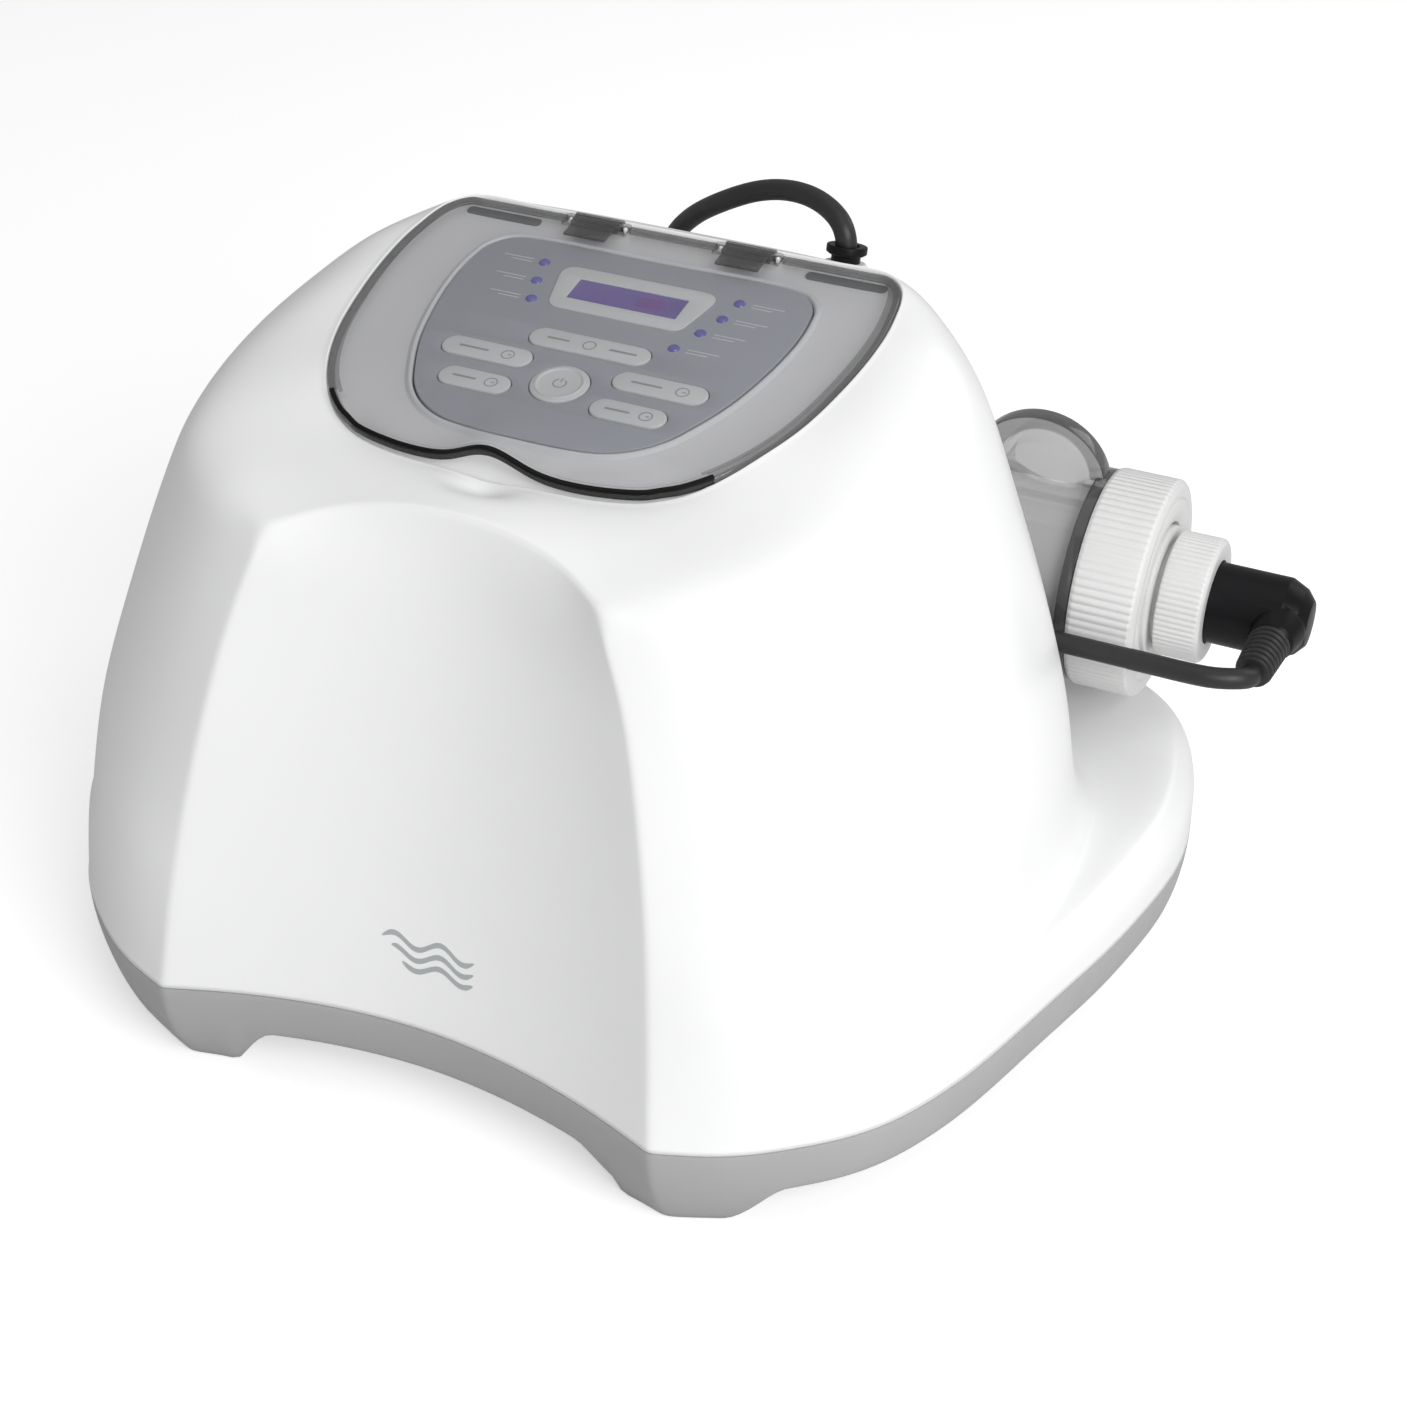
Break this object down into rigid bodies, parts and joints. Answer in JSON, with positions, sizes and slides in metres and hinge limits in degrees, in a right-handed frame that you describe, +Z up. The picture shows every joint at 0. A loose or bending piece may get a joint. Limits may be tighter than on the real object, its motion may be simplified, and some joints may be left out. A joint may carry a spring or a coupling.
{
  "type": "pool saltwater chlorinator",
  "caption": "Table-top control station with tilted keypad under a hinged smoked lid and a rear electrolytic cell tube with two hose ports, screwed collar and plug.",
  "frame": {"origin": "on the ground, the middle of the footprint of the whole object with its plug and cord; the enclosure's plane of symmetry is x = -0.0135", "axes": "+Z up, the keypad front faces -Y, +X is the side where the cell's plug is"},
  "size_m": [0.467, 0.3993, 0.2822],
  "materials": {
    "shell_white": "glossy white injection-moulded plastic",
    "base_grey": "mid-grey moulded plastic, fine satin texture",
    "panel_grey": "satin grey-blue membrane overlay",
    "key_grey": "pale grey satin keys",
    "display_lens": "violet tinted clear window",
    "display_violet": "violet display module",
    "smoked_clear": "smoked transparent polycarbonate",
    "trim_black": "glossy black strip",
    "nut_white": "white moulded plastic, satin",
    "plug_black": "near-black moulded plastic",
    "cable_rubber": "dark grey rubber sheath",
    "seal_rubber": "black elastomer seal",
    "titanium": "coated titanium sheet",
    "contact_metal": "gold-plated contact",
    "steel": "stainless steel",
    "led_guide": "clear light guide with violet lamps",
    "circuit_board": "green circuit board",
    "aluminium": "extruded aluminium",
    "capacitor_sleeve": "dark shrink sleeve",
    "ribbon_grey": "grey ribbon cable",
    "coil_tape": "amber winding tape",
    "core_steel": "varnished lamination stack"
  },
  "bodies": {
    "root": {"base_screw_1": "steel", "base_screw_2": "steel", "base_screw_3": "steel", "base_screw_4": "steel", "base_tray": "base_grey", "capacitor_1": "capacitor_sleeve", "capacitor_2": "capacitor_sleeve", "cell_cable": "cable_rubber", "cell_cable_gland": "cable_rubber", "cell_housing": "smoked_clear", "cell_saddle_left": "base_grey", "cell_saddle_right": "base_grey", "control_board": "circuit_board", "control_panel": "panel_grey", "cord_gland": "cable_rubber", "display_module": "display_violet", "display_window": "display_lens", "flow_sensor_body": "plug_black", "heatsink": "aluminium", "hinge_pin_left": "steel", "hinge_pin_right": "steel", "led_guide_left": "led_guide", "led_guide_right": "led_guide", "main_board": "circuit_board", "mains_cord": "cable_rubber", "mains_plug": "plug_black", "panel_gasket": "seal_rubber", "ribbon_cable": "ribbon_grey", "sensor_cable": "cable_rubber", "transformer_coil": "coil_tape", "transformer_core": "core_steel", "upper_shell": "shell_white"},
    "lid": {"lid": "smoked_clear", "lid_front_trim": "trim_black", "hinge_clip_left": "smoked_clear", "hinge_clip_right": "smoked_clear"},
    "electrode": {"electrode_cap": "nut_white", "plate_spacer": "nut_white", "cap_oring": "seal_rubber", "contact_pin_1": "contact_metal", "contact_pin_2": "contact_metal", "contact_pin_3": "contact_metal", "electrode_plate_1": "titanium", "electrode_plate_2": "titanium", "electrode_plate_3": "titanium", "electrode_plate_4": "titanium", "electrode_plate_5": "titanium"},
    "collar_carrier": {"thrust_washer": "seal_rubber"},
    "collar": {"collar_nut": "nut_white"},
    "plug": {"cell_plug": "plug_black", "plug_boot": "cable_rubber"},
    "ring": {"connector_ring": "nut_white"},
    "sensor_ring": {"sensor_ring": "nut_white"},
    "paddle": {"flow_paddle": "nut_white"},
    "key_mode": {"key_mode": "key_grey"},
    "key_left_upper": {"key_left_upper": "key_grey"},
    "key_left_lower": {"key_left_lower": "key_grey"},
    "key_right_upper": {"key_right_upper": "key_grey"},
    "key_right_lower": {"key_right_lower": "key_grey"},
    "key_power": {"key_power": "key_grey"}
  },
  "joints": [
    {"name": "lid_hinge", "type": "hinge", "parent": "root", "child": "lid", "pos_m": [-0.0135, 0.03295, 0.26927], "axis": [-1, 0, 0], "range_deg": [0, 100]},
    {"name": "key_mode_press", "type": "slide", "parent": "root", "child": "key_mode", "axis": [0, 0.1724, -0.985], "range_m": [0, 0.0008]},
    {"name": "key_left_upper_press", "type": "slide", "parent": "root", "child": "key_left_upper", "axis": [0, 0.1724, -0.985], "range_m": [0, 0.0008]},
    {"name": "key_left_lower_press", "type": "slide", "parent": "root", "child": "key_left_lower", "axis": [0, 0.1724, -0.985], "range_m": [0, 0.0008]},
    {"name": "key_right_upper_press", "type": "slide", "parent": "root", "child": "key_right_upper", "axis": [0, 0.1724, -0.985], "range_m": [0, 0.0008]},
    {"name": "key_right_lower_press", "type": "slide", "parent": "root", "child": "key_right_lower", "axis": [0, 0.1724, -0.985], "range_m": [0, 0.0008]},
    {"name": "key_power_press", "type": "slide", "parent": "root", "child": "key_power", "axis": [0, 0.1724, -0.985], "range_m": [0, 0.0008]},
    {"name": "electrode_pull", "type": "slide", "parent": "root", "child": "electrode", "axis": [1, 0, 0], "range_m": [0, 0.045]},
    {"name": "collar_travel", "type": "slide", "parent": "electrode", "child": "collar_carrier", "axis": [1, 0, 0], "range_m": [0, 0.008]},
    {"name": "collar_turn", "type": "hinge", "parent": "collar_carrier", "child": "collar", "pos_m": [0.16, 0.0933, 0.1278], "axis": [1, 0, 0], "range_deg": [0, 720]},
    {"name": "plug_pull", "type": "slide", "parent": "electrode", "child": "plug", "axis": [1, 0, 0], "range_m": [0, 0.008]},
    {"name": "ring_turn", "type": "hinge", "parent": "plug", "child": "ring", "pos_m": [0.1865, 0.0933, 0.1278], "axis": [1, 0, 0], "range_deg": [0, 720]},
    {"name": "sensor_ring_turn", "type": "hinge", "parent": "root", "child": "sensor_ring", "pos_m": [-0.1885, 0.0933, 0.1278], "axis": [1, 0, 0], "range_deg": [0, 45]},
    {"name": "paddle_swing", "type": "hinge", "parent": "root", "child": "paddle", "pos_m": [-0.1515, 0.0933, 0.15012], "axis": [0, -1, 0], "range_deg": [0, 30]}
  ],
  "couplings": [
    {"joint": "collar_travel", "follows": "collar_turn", "m_per_rad": 0.0006366},
    {"joint": "plug_pull", "follows": "ring_turn", "m_per_rad": 0.0006366}
  ]
}
